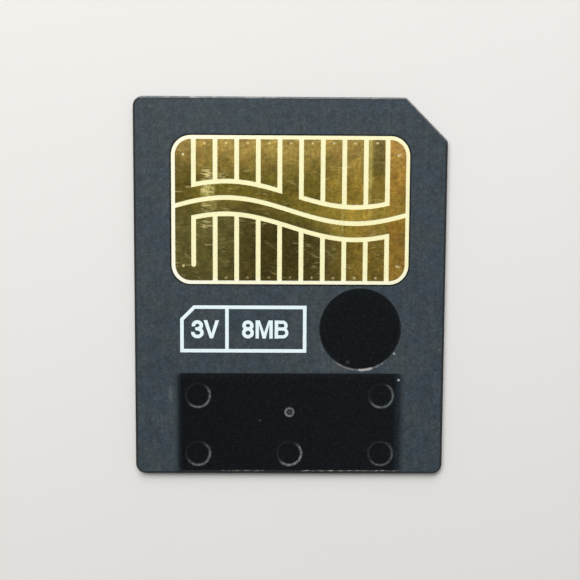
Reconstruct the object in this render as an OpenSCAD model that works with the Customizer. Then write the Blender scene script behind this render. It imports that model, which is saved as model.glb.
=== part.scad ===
// Flash memory card: a moulded body with a bonded contact module, lying with its contacts up.
// Millimetres. The origin is the middle of the back face, +Y is the end that goes into the socket
// first and +Z points out of the contact side.

/* [Card body] */
// Width of the card across the contact columns
card_w = 37; // [36:0.5:42]
// Length of the card from the grip end to the contact end
card_l = 45; // [44:0.5:52]
// Thickness of the card
card_t = 0.76; // [0.74:0.02:1.2]
// Radius of the three rounded corners
corner_r = 1.2; // [0.8:0.1:2]
// Leg of the clipped corner that keys the card in its socket
clip_leg = 5; // [2:0.5:7]
// Radius of the two blunt corners at the ends of the clip
clip_r = 0.5; // [0.4:0.1:1]
// Width of the bevel round the contact side
front_bevel = 0.22; // [0.1:0.02:0.3]
// Width of the bevel round the back
back_bevel = 0.1; // [0.06:0.02:0.16]
// Thickness of the wall behind the chip
back_wall = 0.12; // [0.1:0.01:0.16]

/* [Contact board] */
// Width of the board
board_w = 28.1; // [27.7:0.1:30]
// Length of the board along the card
board_l = 17.5; // [17:0.1:18.5]
// Thickness of the laminate
board_t = 0.16; // [0.12:0.01:0.18]
// Radius of the board's corners
board_r = 2.3; // [1.6:0.1:2.6]
// Width of the card's rim between the board and the contact end
rim = 4.5; // [3:0.25:5]
// Clearance between the edge of the board and the pocket
board_gap = 0.13; // [0.05:0.01:0.2]
// Depth of the contacts below the face of the card
contact_drop = 0.02; // [0.01:0.01:0.05]
// Width of the ledge that carries the edge of the board
ledge_w = 2.1; // [1.6:0.1:2.2]
// Thickness of the bonding film on the ledge
film_t = 0.03; // [0.02:0.01:0.05]

/* [Contacts] */
// Distance between neighbouring contact columns
pitch = 2.54; // [2.48:0.02:2.58]
// Width of the bare gaps between contacts
gap_w = 0.57; // [0.4:0.01:0.7]
// Width of the bare margin round the contacts
margin = 0.45; // [0.3:0.05:0.5]
// Thickness of the plated copper on the contact side
foil_t = 0.035; // [0.03:0.005:0.05]
// Thickness of the copper traces on the chip side
trace_t = 0.018; // [0.01:0.002:0.03]
// Height of the wave that parts the two rows
wave_rise = 1.5; // [0.5:0.1:1.8]
// Length of half a wave
wave_len = 15.3; // [14:0.1:18]
// Distance from the wave to the curve that ends each row
band_w = 1.92; // [1.5:0.02:2.1]
// Distance of the slit's free end from the edge of the foil
slit_rise = 1.6; // [1:0.1:2.5]
// Radius of the plated holes through the board
via_r = 0.1; // [0.08:0.01:0.14]
// Distance of the plated holes from the edge of the foil
via_inset = 0.35; // [0.32:0.01:0.5]
// Distance of the plated holes of the four corner contacts from the edge of the foil
corner_via_inset = 1.75; // [1.5:0.05:2]
// Radius of the dimple over a plated hole
dimple_r = 0.25; // [0.15:0.01:0.3]
// Depth of the dimple over a plated hole
dimple_depth = 0.02; // [0.01:0.005:0.025]

/* [Memory chip] */
// Width of the die
die_w = 12; // [10.6:0.1:14]
// Length of the die along the card
die_l = 8; // [6:0.5:9.5]
// Thickness of the die
die_t = 0.18; // [0.15:0.01:0.2]
// Thickness of the paste that holds the die
paste_t = 0.02; // [0.015:0.005:0.03]
// Distance between neighbouring bond fingers
finger_pitch = 1.05; // [0.95:0.01:1.05]
// Distance between neighbouring pads on the die
pad_pitch = 0.95; // [0.8:0.01:1.0]
// Thickness of the bond wires
wire_d = 0.03; // [0.02:0.005:0.04]
// Height of the wire loops over the face of the die
loop_h = 0.07; // [0.06:0.01:0.08]
// Clearance between the moulded resin and the walls of the chip pocket
resin_gap = 0.15; // [0.1:0.01:0.2]
// Clearance between the moulded resin and the wall behind it
resin_lift = 0.03; // [0.02:0.01:0.04]

/* [Recesses] */
// Diameter of the round recess for a write-protect seal
seal_d = 9.8; // [8:0.1:10]
// Depth of the round recess
seal_depth = 0.08; // [0.04:0.01:0.12]
// Distance from the edge of the board in to the edge of the round recess
seal_inset = 0.75; // [0.25:0.25:1.5]
// Width of the web left between the board, the round recess and the label recess
web = 0.45; // [0.3:0.05:0.8]
// Width of the sloping walls of the recesses and of the ejector pin marks
recess_draft = 0.14; // [0.04:0.02:0.2]
// Width of the label recess
label_w = 26.9; // [24:0.1:28]
// Depth of the label recess
label_depth = 0.06; // [0.04:0.01:0.1]
// Radius of the label recess's corners
label_r = 0.5; // [0.2:0.1:1]
// Width of the flat lip between the label recess and the bevel at the grip end
lip = 0.08; // [0.04:0.02:0.5]
// Diameter of the ejector pin marks
pin_d = 3; // [2:0.1:3.4]
// Depth of the ejector pin marks
pin_depth = 0.04; // [0.01:0.01:0.05]
// Distance of the ejector pin marks from the sides of the label recess
pin_side = 2.45; // [2:0.05:4]
// Distance of the far row of ejector pin marks from the recess's far end
pin_far_inset = 2.7; // [2:0.1:3]
// Distance of the near row of ejector pin marks from the grip end of the recess
pin_near_inset = 2.2; // [2:0.1:3]
// Diameter of the gate scar
gate_d = 1.3; // [0.8:0.1:1.6]
// Height of the gate scar above the floor of the label recess
gate_h = 0.03; // [0.01:0.01:0.04]

/* [Printed mark] */
// Width of the printed frame
mark_w = 15.05; // [13:0.05:16]
// Length of the printed frame along the card
mark_l = 5.65; // [4:0.05:6]
// Width of the printed lines
mark_line = 0.42; // [0.3:0.02:0.6]
// Leg of the frame's clipped corner
mark_clip = 1.6; // [0.8:0.1:2]
// Width of the frame's first cell
mark_cell = 5.57; // [4:0.01:7]
// Distance from the board down to the frame
mark_drop = 2.55; // [1:0.05:3]
// Distance from the edge of the board in to the frame
mark_inset = 0.98; // [0.5:0.01:1.2]
// Thickness of the ink
ink_t = 0.01; // [0.01:0.005:0.02]

/* [Hidden] */
// Segments of a circle, and steps of the wave across one contact column
ROUND_FN = 64;
CURVE_STEPS = 6;
// A cut runs this far past the face that it opens
SPILL = 0.2;

// The two contact rows have eleven columns, numbered from 0 at the left edge to 10 at the right
LAST = 10;
MID = LAST / 2;
// Columns whose contacts stand alone, in the row at the contact end and in the row behind it
FAR_SIGNALS = [1, 2, 3, 4, 6, 7, 8, 9];
NEAR_SIGNALS = [2, 3, 4, 5, 6, 7, 8, 9];
FAR = 1;
NEAR = -1;

function pin_number(row, column) = row == FAR ? 12 + column : 11 - column;
function contact_name(row, column) =
    let (n = pin_number(row, column)) str("contact_", n < 10 ? "0" : "", n);

// Heights of the stack, from the face of the card down to the chip pocket
contact_top = card_t - contact_drop;
board_top = contact_top - foil_t;
board_back = board_top - board_t;
ledge_z = board_back - film_t;
die_top = board_back - paste_t;
die_face = die_top - die_t;
resin_base = back_wall + resin_lift;

// The contact board and its foil, seen from the contact side
board_y = card_l / 2 - rim - board_l / 2;
foil_w = board_w - 2 * margin;
foil_l = board_l - 2 * margin;
foil_r = board_r - margin;
foil_far = board_y + foil_l / 2;
foil_near = board_y - foil_l / 2;

// The chip pocket and the block of resin in it
chip_pocket_w = board_w - 2 * ledge_w;
chip_pocket_l = board_l - 2 * ledge_w;
chip_pocket_r = 1;
resin_w = chip_pocket_w - 2 * resin_gap;
resin_l = chip_pocket_l - 2 * resin_gap;
resin_r = chip_pocket_r - resin_gap;

// Bond fingers lie just outside the die, and the bond pads just inside its edges
trace_w = 0.16;
pad_ring = 0.08;
finger_w = 0.3;
finger_l = 0.6;
finger_clear = 0.6;
finger_reach = die_l / 2 + finger_clear + finger_l / 2;
pad_inset = 0.15;
shoulder_clear = 0.25;

// Recesses below the board, each one web apart
board_near = board_y - board_l / 2;
seal_x = board_w / 2 - seal_inset - seal_d / 2;
seal_y = board_near - web - seal_d / 2;
label_far = seal_y - seal_d / 2 - web;
label_near = front_bevel + lip - card_l / 2;
label_l = label_far - label_near;
label_y = (label_far + label_near) / 2;
label_floor = card_t - label_depth;
pin_x = label_w / 2 - pin_side;
pin_far = label_far - pin_far_inset;
pin_near = label_near + pin_near_inset;
gate_y = (pin_far * 5 + pin_near * 2) / 7;
gate_hollow_d = 0.4 * gate_d;

// The printed frame's far left corner
mark_left = mark_inset - board_w / 2;
mark_far = board_near - mark_drop;

// Place of a column's middle and of the gap before it
function column_x(column) = (column - MID) * pitch;
function divider_x(column) = column_x(column) - pitch / 2;

// Height of the wave that parts the rows, at a place across the card
function wave(x) = board_y - wave_rise * sin(180 * x / wave_len);

// Points along the wave from one place to another, raised by a distance
function wave_points(from, to, rise) =
    let (steps = ceil(abs(to - from) / pitch * CURVE_STEPS))
    [for (k = [0 : steps]) let (x = from + (to - from) * k / steps) [x, wave(x) + rise]];

// Plated hole of a column: the corner contacts have theirs further in
corner_via_x = (divider_x(LAST) + gap_w / 2 + foil_w / 2) / 2;
function is_corner(column) = column == 0 || column == LAST;
function via_x(column) = is_corner(column) ? sign(column - MID) * corner_via_x : column_x(column);
function via_y(row, column) =
    board_y + row * (foil_l / 2 - (is_corner(column) ? corner_via_inset : via_inset));
function finger_x(column) = (column - MID) * finger_pitch;
function finger_y(row) = board_y + row * finger_reach;
function pad_x(column) = (column - MID) * pad_pitch;
function pad_y(row) = board_y + row * (die_l / 2 - pad_inset);

// Columns with a plated hole, in each row
function wired_columns(row) = row == FAR ? [0 : LAST] : [for (c = [0 : LAST]) if (c != 1) c];

// Corners of a rounded rectangle about a place, anticlockwise, each with its arc's middle and radius
function plate_corners(w, l, r, middle = [0, 0]) =
    [for (corner = [[-1, -1], [1, -1], [1, 1], [-1, 1]])
        [middle.x + corner.x * (w / 2 - r), middle.y + corner.y * (l / 2 - r), r]];

// Direction in which a side runs from one corner's arc to the next one's
function side_heading(from, to) =
    atan2(to.y - from.y, to.x - from.x) + asin((from.z - to.z) / norm([to.x - from.x, to.y - from.y]));

// Solid over an outline with arcs at its corners, with one edge section all the way round it.
// Each corner is [x, y, radius], and the section lists [inset, height] from the bottom up.
module edged_plate(corners, section) {
    low = section[0].y;
    high = section[len(section) - 1].y;
    count = len(corners);
    translate([0, 0, low])
        linear_extrude(high - low) polygon([for (corner = corners) [corner.x, corner.y]]);
    for (i = [0 : count - 1]) {
        before = corners[(i + count - 1) % count];
        here = corners[i];
        after = corners[(i + 1) % count];
        heading = side_heading(here, after);
        turn = (heading - side_heading(before, here) + 360) % 360;
        depth = max(here.z, after.z);
        span = norm([after.x - here.x, after.y - here.y]);
        length = sqrt(span * span - pow(here.z - after.z, 2));
        translate([here.x, here.y])
            rotate(heading - turn - 90)
                rotate_extrude(angle = turn, $fn = ROUND_FN)
                    polygon(concat([[0, low]], [for (s = section) [here.z - s.x, s.y]], [[0, high]]));
        translate([here.x + here.z * sin(heading), here.y - here.z * cos(heading)])
            rotate([90, 0, heading + 90])
                linear_extrude(length)
                    polygon(concat([[depth, low]], section, [[depth, high]]));
    }
}

// Rounded rectangle about the origin
module rounded_plate(w, l, r, t) {
    linear_extrude(t) {
        square([w - 2 * r, l], center = true);
        square([w, l - 2 * r], center = true);
        for (x = [-1, 1], y = [-1, 1])
            translate([x * (w / 2 - r), y * (l / 2 - r)]) circle(r, $fn = ROUND_FN);
    }
}

// Area between the wave, raised by a distance, and a line beyond the foil on the row's side
module beyond_wave(row, from, to, rise) {
    far_line = board_y + row * board_l;
    polygon(concat(wave_points(from, to, rise), [[to, far_line], [from, far_line]]));
}

// Card blank with its bevelled edges: three round corners, and two blunt ones at the clip
module card_blank() {
    x = card_w / 2;
    y = card_l / 2;
    blunt = clip_leg + clip_r * tan(22.5);
    edged_plate(
        [[corner_r - x, corner_r - y, corner_r], [x - corner_r, corner_r - y, corner_r],
         [x - clip_r, y - blunt, clip_r], [x - blunt, y - clip_r, clip_r],
         [corner_r - x, y - corner_r, corner_r]],
        [[back_bevel, 0], [0, back_bevel], [0, card_t - front_bevel], [front_bevel, card_t]]
    );
}

// Stepped pocket: the board drops into the upper step, the chip's resin into the lower one
module module_pocket() {
    translate([0, board_y, ledge_z])
        rounded_plate(board_w + 2 * board_gap, board_l + 2 * board_gap, board_r + board_gap,
                      card_t - ledge_z + SPILL);
    translate([0, board_y, back_wall])
        rounded_plate(chip_pocket_w, chip_pocket_l, chip_pocket_r, card_t - back_wall);
}

module seal_recess() {
    translate([seal_x, seal_y, card_t - seal_depth])
        cylinder(h = seal_depth, d1 = seal_d - 2 * recess_draft, d2 = seal_d, $fn = ROUND_FN);
}

// Polished recess that hides the marks of the ejector pins
module label_recess() {
    edged_plate(plate_corners(label_w, label_l, label_r, [0, label_y]),
                [[recess_draft, label_floor], [0, card_t]]);
    for (place = [[-pin_x, pin_far], [pin_x, pin_far],
                  [-pin_x, pin_near], [0, pin_near], [pin_x, pin_near]])
        translate([place.x, place.y, label_floor - pin_depth])
            cylinder(h = pin_depth, d1 = pin_d - 2 * recess_draft, d2 = pin_d, $fn = ROUND_FN);
}

// Scar where the moulding gate broke off: a low ring on the floor of the label recess
module gate_scar() {
    translate([0, gate_y, label_floor - SPILL])
        difference() {
            cylinder(h = gate_h + SPILL, d = gate_d, $fn = ROUND_FN);
            translate([0, 0, SPILL]) cylinder(h = gate_h + SPILL, d = gate_hollow_d, $fn = ROUND_FN);
        }
}

module base_card() {
    color("#3d444a") {
        difference() {
            card_blank();
            module_pocket();
            seal_recess();
            label_recess();
        }
        gate_scar();
    }
}

// Ring of bonding film between the ledge and the edge of the board
module bonding_film() {
    color("#b8a878")
        translate([0, board_y, ledge_z])
            difference() {
                rounded_plate(board_w, board_l, board_r, film_t);
                translate([0, 0, -SPILL])
                    rounded_plate(chip_pocket_w, chip_pocket_l, chip_pocket_r, film_t + 2 * SPILL);
            }
}

// Copper on the back of the board: a pad round the plated hole, a trace and a bond finger
module trace(row, column) {
    from = [via_x(column), via_y(row, column)];
    to = [finger_x(column), finger_y(row)];
    run = to - from;
    side = [-run.y, run.x] / norm(run) * trace_w / 2;
    translate([0, 0, board_back])
        linear_extrude(trace_t) {
            polygon([from + side, from - side, to - side, to + side]);
            translate(from) circle(via_r + pad_ring, $fn = ROUND_FN);
            translate(to) square([finger_w, finger_l], center = true);
        }
}

module plated_hole(row, column) {
    translate([via_x(column), via_y(row, column), board_back])
        cylinder(h = board_t, r = via_r, $fn = ROUND_FN);
}

// Dish in the foil over a plated hole
module dimple(row, column) {
    dish_r = (dimple_r * dimple_r + dimple_depth * dimple_depth) / (2 * dimple_depth);
    translate([via_x(column), via_y(row, column), contact_top - dimple_depth + dish_r])
        sphere(dish_r, $fn = ROUND_FN);
}

// One conductor: a foil outline on the board, and the plated holes, traces and fingers under it
module conductor(row, columns) {
    color("#8a6d2b")
        difference() {
            union() {
                translate([0, 0, board_top]) linear_extrude(foil_t) children();
                for (column = columns) {
                    plated_hole(row, column);
                    trace(row, column);
                }
            }
            for (column = columns) dimple(row, column);
        }
}

// Laminate with its holes, and grooves at the back where the traces lie flush
module contact_board() {
    color("#f0e6a8")
        difference() {
            translate([0, board_y, board_back]) rounded_plate(board_w, board_l, board_r, board_t);
            for (row = [FAR, NEAR], column = wired_columns(row)) {
                plated_hole(row, column);
                trace(row, column);
            }
        }
}

module foil_area() {
    translate([0, board_y]) {
        square([foil_w - 2 * foil_r, foil_l], center = true);
        square([foil_w, foil_l - 2 * foil_r], center = true);
        for (x = [-1, 1], y = [-1, 1])
            translate([x * (foil_w / 2 - foil_r), y * (foil_l / 2 - foil_r)])
                circle(foil_r, $fn = ROUND_FN);
    }
}

// A signal contact fills its column from the edge of the foil to the curve along the wave
module signal_contact(row, column) {
    left = column_x(column) - (pitch - gap_w) / 2;
    right = column_x(column) + (pitch - gap_w) / 2;
    edge = row == FAR ? foil_far : foil_near;
    conductor(row, [column])
        polygon(concat(wave_points(left, right, row * (band_w + gap_w / 2)),
                       [[right, edge], [left, edge]]));
}

// Columns from one to another, with the gaps round them
module block(row, first, last) {
    beyond_wave(row, divider_x(first) - gap_w / 2, divider_x(last + 1) + gap_w / 2,
                row * (band_w - gap_w / 2));
}

// Supply contact: both corners, the middle column and the band that joins them
module contact_supply() {
    conductor(FAR, [0, MID, LAST])
        difference() {
            intersection() {
                foil_area();
                beyond_wave(FAR, -board_w / 2, board_w / 2, gap_w / 2);
            }
            block(FAR, 1, MID - 1);
            block(FAR, MID + 1, LAST - 1);
        }
}

// Ground contact: both corners and the band, and the column that opens only under the slit's end
module contact_ground() {
    slit_x = divider_x(1);
    slit_end = foil_near + slit_rise + gap_w / 2;
    column_edge = divider_x(2) - gap_w / 2;
    conductor(NEAR, [0, LAST])
        difference() {
            intersection() {
                foil_area();
                beyond_wave(NEAR, -board_w / 2, board_w / 2, -gap_w / 2);
            }
            block(NEAR, 2, LAST - 1);
            polygon(concat(wave_points(slit_x - gap_w / 2, column_edge, gap_w / 2 - band_w),
                           wave_points(column_edge, slit_x - gap_w / 2, -gap_w / 2 - band_w)));
            translate([slit_x - gap_w / 2, slit_end])
                square([gap_w, wave(slit_x) - band_w - slit_end]);
            translate([slit_x, slit_end]) circle(gap_w / 2, $fn = ROUND_FN);
        }
}

module memory_die() {
    color("#6f7680")
        translate([-die_w / 2, board_y - die_l / 2, die_face]) cube([die_w, die_l, die_t]);
}

module die_paste() {
    color("#c9ccd0")
        translate([-die_w / 2, board_y - die_l / 2, die_top]) cube([die_w, die_l, paste_t]);
}

// One bond wire: out of its pad, over the edge of the die and back to its finger on the board.
// Each ring has a place along the wire's run, a height, and the direction of its second axis.
module bond_wire(row, column) {
    sides = 6;
    pad = [pad_x(column), pad_y(row)];
    run = [finger_x(column), finger_y(row)] - pad;
    along = run / norm(run);
    across = [-along.y, along.x];
    shoulder = (pad_inset + shoulder_clear) * norm(run) / abs(run.y);
    rings = [[0, die_face, [1, 0]], [0, die_face - loop_h, [0.8, 0.8]],
             [shoulder, die_face - loop_h, [-0.3, 1]], [norm(run), board_back, [-1.2, 0]]];
    points = [for (ring = rings, k = [0 : sides - 1])
        let (c = wire_d / 2 * cos(360 * k / sides), s = wire_d / 2 * sin(360 * k / sides))
        let (place = pad + (ring[0] + s * ring[2].x) * along + c * across)
        [place.x, place.y, ring[1] + s * ring[2].y]];
    walls = [for (i = [0 : len(rings) - 2], k = [0 : sides - 1])
        let (a = i * sides + k, b = i * sides + (k + 1) % sides)
        each [[a, b, b + sides], [a, b + sides, a + sides]]];
    caps = [[for (k = [sides - 1 : -1 : 0]) k],
            [for (k = [0 : sides - 1]) (len(rings) - 1) * sides + k]];
    polyhedron(points, concat(walls, caps), convexity = 4);
}

module bond_wires() {
    color("#d9a520")
        for (row = [FAR, NEAR], column = wired_columns(row)) bond_wire(row, column);
}

// Block of resin moulded over the die and its wires
module moulded_resin() {
    color("#1c1d1f")
        difference() {
            translate([0, board_y, resin_base])
                rounded_plate(resin_w, resin_l, resin_r, board_back - resin_base);
            memory_die();
            die_paste();
            bond_wires();
        }
}

// Outline of the printed frame, drawn in from its edge by a distance
module mark_outline(inset) {
    left = mark_left + inset;
    right = mark_left + mark_w - inset;
    far = mark_far - inset;
    near = mark_far - mark_l + inset;
    leg = mark_clip - inset * (2 - sqrt(2));
    polygon([[left, near], [right, near], [right, far], [left + leg, far], [left, far - leg]]);
}

// Printed frame with a clipped corner and one dividing line
module printed_frame() {
    color("white")
        translate([0, 0, card_t])
            linear_extrude(ink_t) {
                difference() {
                    mark_outline(0);
                    mark_outline(mark_line);
                }
                translate([mark_left + mark_cell - mark_line / 2, mark_far - mark_l])
                    square([mark_line, mark_l]);
            }
}

base_card();
bonding_film();
contact_board();
contact_supply();
contact_ground();
for (column = NEAR_SIGNALS)
    signal_contact(NEAR, column);
for (column = FAR_SIGNALS)
    signal_contact(FAR, column);
memory_die();
die_paste();
bond_wires();
moulded_resin();
printed_frame();
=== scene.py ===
"""Finishes, printing, light and camera for a thin moulded flash memory card.

The packed solids stay as they are: each gets a procedural finish, the rating's
letters are printed beside their frame, and a pale floor, soft lamps and a
camera straight above the contact face make the stage.
"""

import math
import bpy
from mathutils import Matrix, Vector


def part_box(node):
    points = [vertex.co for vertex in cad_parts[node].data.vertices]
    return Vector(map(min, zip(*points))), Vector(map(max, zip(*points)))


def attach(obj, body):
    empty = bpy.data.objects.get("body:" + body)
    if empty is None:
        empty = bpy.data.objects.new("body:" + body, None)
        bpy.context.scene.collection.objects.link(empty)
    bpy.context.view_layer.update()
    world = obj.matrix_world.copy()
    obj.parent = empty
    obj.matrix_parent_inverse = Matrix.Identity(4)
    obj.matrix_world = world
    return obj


bl_info = {
    "name": "Flash memory card looks",
    "version": (1, 0, 0),
    "blender": (4, 5, 0),
    "location": "3D View > Sidebar > Memory Card",
    "description": "Finishes, printing, light and camera for a flash memory card",
    "category": "Object",
}

import bmesh
import bpy
from bpy.props import FloatProperty, FloatVectorProperty, PointerProperty
from mathutils import Vector
from mathutils.geometry import delaunay_2d_cdt

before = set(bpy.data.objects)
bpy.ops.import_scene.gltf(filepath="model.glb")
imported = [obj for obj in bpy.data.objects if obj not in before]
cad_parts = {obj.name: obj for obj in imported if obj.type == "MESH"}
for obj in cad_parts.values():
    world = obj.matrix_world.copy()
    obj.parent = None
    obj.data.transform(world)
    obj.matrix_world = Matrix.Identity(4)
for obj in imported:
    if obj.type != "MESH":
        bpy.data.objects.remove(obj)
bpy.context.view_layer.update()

MM = 0.001
CARD_LOW, CARD_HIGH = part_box("base_card")
BOARD_LOW, BOARD_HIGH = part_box("contact_board")
MARK_LOW, MARK_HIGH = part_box("printed_frame")
CONTACTS = sorted(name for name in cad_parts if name.startswith("contact_") and name != "contact_board")


# Settings
def length(name, description, default):
    """A length property whose default is given in millimetres."""
    return FloatProperty(
        name=name, description=description, default=default * MM, unit="LENGTH", precision=5
    )


def share(name, description, default):
    """A property between nothing and all."""
    return FloatProperty(
        name=name, description=description, default=default, min=0.0, max=1.0, subtype="FACTOR"
    )


def power(name, description, default):
    """A lamp's power in watts."""
    return FloatProperty(name=name, description=description, default=default, min=0.0, unit="POWER")


def colour(name, description, default):
    """A linear colour property."""
    return FloatVectorProperty(
        name=name, description=description, default=default, size=3, min=0.0, max=1.0, subtype="COLOR"
    )


def point(name, description, default):
    """A place property whose default is given in millimetres."""
    return FloatVectorProperty(
        name=name,
        description=description,
        default=[value * MM for value in default],
        size=len(default),
        unit="LENGTH",
        precision=5,
    )


class MouldedCardFinish(bpy.types.PropertyGroup):
    """The moulded card: its textured face and smooth recesses, with wear, painted highlights and painted shade at its
    edges and rims.
    """

    slate: colour("Slate", "Cool tone of the textured face", (0.0268, 0.0432, 0.0565))
    warm_slate: colour("Warm slate", "Warmer tone of the face's slow patches", (0.0340, 0.0478, 0.0562))
    recess_black: colour("Recess black", "Smooth floors of the two recesses", (0.0003, 0.0013, 0.0026))
    # The haze below is painted reflection over parts of the recess floors, and it also tints their dusty mottle
    dust_and_reflection_haze: colour("Recess haze", "Bluish haze over parts of those floors", (0.0028, 0.0050, 0.0066))
    # The black below is painted shade: it darkens the bevels down the sides and round the grip end, the gap round the
    # board, a line below the contact end and the strip below the grip-end wall
    shade_black: colour("Rim black", "Polished bevels down the sides and round the grip end", (0.003, 0.004, 0.005))
    # The pale tone below is real wear in flecks, specks and scrapes, and painted highlight on the seal's rim, the
    # grip-end wall, the contact end and soft spots of the face
    scuff_and_highlight: colour("Scuff", "Plastic rubbed pale along the contact end", (0.50, 0.50, 0.49))
    # The grey below is a painted highlight along one side of each pin mark's rim, with faint wear round the rest, and
    # it greys the gate scar's ring
    rim_highlight_and_wear: colour("Rubbed rim", "Greyed rims of the pin marks and of the gate scar", (0.170, 0.195, 0.205))
    face_roughness: share("Face roughness", "Roughness of the spark-eroded texture", 0.62)
    recess_roughness: share("Recess roughness", "Roughness of the smooth recess floors", 0.17)
    patch_size: length("Patch size", "Size of the face's slow light and dark patches", 2.4)
    grain_size: length("Grain size", "Size of the moulded texture's grain", 0.22)
    grain_depth: length("Grain depth", "Depth of the moulded texture", 0.014)
    bevel: length("Bevel", "Width of the bevel round the face", 0.22)
    corner_radius: length("Corner radius", "Radius of the card's three rounded corners", 1.2)
    board_radius: length("Board corner radius", "Radius of the contact board's corners", 2.3)
    clip_leg: length("Clip leg", "Leg of the clipped corner", 5.0)
    seal_centre: point("Seal centre", "Middle of the round recess", (8.4, -4.85))
    seal_size: length("Seal diameter", "Diameter of the round recess", 9.8)
    label_low: point("Label corner, low", "Lower left corner of the label recess", (-13.45, -22.2))
    label_high: point("Label corner, high", "Upper right corner of the label recess", (13.45, -10.2))
    pin_size: length("Pin diameter", "Diameter of the ejector pin marks", 3.0)
    gate_place: point("Gate place", "Middle of the gate scar in the label recess", (0.0, -14.93))
    gate_size: length("Gate diameter", "Diameter of the gate scar", 1.3)


class ContactFinish(bpy.types.PropertyGroup):
    """The hard gold plating of the contact lands and the traces under them."""

    # Gold, olive, copper, moss and the dark tone below are laid out by place as a painted reflection of the
    # surroundings
    gold: colour("Gold", "Plating where it is least worn", (0.53, 0.37, 0.092))
    olive: colour("Olive", "Duller plating of the far row's left half", (0.235, 0.180, 0.026))
    copper: colour("Copper", "Redder plating towards the right end", (0.50, 0.33, 0.053))
    gleam: colour("Gleam", "Yellower gleam where the plating is rubbed", (0.86, 0.78, 0.22))
    moss: colour("Moss", "Greenish plating of the near row's left end", (0.19, 0.16, 0.042))
    dark_reflection: colour("Tarnish", "Dark film over the middle of the near row", (0.105, 0.078, 0.016))
    scratch: colour("Scratch", "Bright metal of a fresh scratch", (1.0, 0.85, 0.36))
    # The pale tone below is a painted highlight in the plated holes' dimples
    via_highlight: colour("Hole rim", "Pale filled ends of the plated holes", (0.92, 0.78, 0.42))
    roughness: share("Roughness", "Roughness of the satin plating", 0.40)
    wave_rise: length("Wave rise", "Height of the wave that parts the two rows", 1.5)
    wave_length: length("Wave length", "Length of half a wave", 15.3)
    grain_size: length("Grain size", "Size of the plating's fine mottle", 0.12)


class BoardFinish(bpy.types.PropertyGroup):
    """The cream board that shows between the lands."""

    cream: colour("Cream", "Bare face of the board", (0.95, 0.92, 0.55))
    shade: colour("Shade", "Slightly darker tone of its slow mottle", (0.88, 0.83, 0.48))
    bare_edge: colour("Bare edge", "Whiter rim along the board's outline", (0.98, 0.96, 0.80))
    weave_pitch: length("Weave pitch", "Distance between the glass cloth's threads", 0.42)
    weave_depth: length("Weave depth", "Depth to which the cloth shows", 0.004)
    roughness: share("Roughness", "Roughness of the board's face", 0.48)


class InnerFinish(bpy.types.PropertyGroup):
    """The parts that the board hides: film, die, paste, bond wires and resin."""

    film: colour("Film", "Heat-cured bonding film", (0.10, 0.055, 0.025))
    silicon: colour("Silicon", "Memory die's passivated face", (0.10, 0.11, 0.16))
    array_line: colour("Array line", "Lines between the die's memory blocks", (0.30, 0.27, 0.22))
    paste: colour("Paste", "Silver-filled die paste", (0.55, 0.55, 0.54))
    wire: colour("Wire", "Drawn gold bond wire", (0.90, 0.66, 0.28))
    resin: colour("Resin", "Filled moulding resin", (0.018, 0.017, 0.016))
    array_pitch: length("Array pitch", "Size of one block of the memory array", 1.5)


class RatingPrint(bpy.types.PropertyGroup):
    """The white screen-printed rating: its ink and its lettering."""

    ink: colour("Ink", "Cool white screen ink", (0.80, 0.93, 0.98))
    baseline: length("Baseline", "Where the letters stand, along the card", -6.0)
    cap_height: length("Cap height", "Height of the letters", 2.17)
    stroke: length("Stroke", "Width of the letters' strokes", 0.415)


class StageSettings(bpy.types.PropertyGroup):
    """Floor, lamps, surroundings and camera."""

    floor: colour("Floor", "Plain pale floor", (0.80, 0.79, 0.77))
    key_power: power("Key power", "Long soft lamp to the upper left", 2.4)
    top_power: power("Top power", "Low soft lamp beyond the contact end", 1.1)
    fill_power: power("Fill power", "Weaker soft lamp to the right", 0.18)
    horizon: share("Horizon", "Brightness of the surroundings at eye level", 0.80)
    overhead: share("Overhead", "Brightness of the surroundings above", 0.20)
    camera_place: point("Camera place", "Where the camera stands", (-1.322, 9.248, 108.45))
    camera_turn: FloatVectorProperty(
        name="Camera turn",
        description="The camera's turn about the three axes",
        default=(-0.087325, -0.011775, 0.005161),
        size=3,
        subtype="EULER",
        unit="ROTATION",
        precision=5,
    )
    lens: FloatProperty(name="Lens", description="Focal length on a 36 mm sensor", default=56.43)


SETTINGS = {
    "card_moulding": MouldedCardFinish,
    "card_contacts": ContactFinish,
    "card_board": BoardFinish,
    "card_inner": InnerFinish,
    "card_rating": RatingPrint,
    "card_stage": StageSettings,
}


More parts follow.
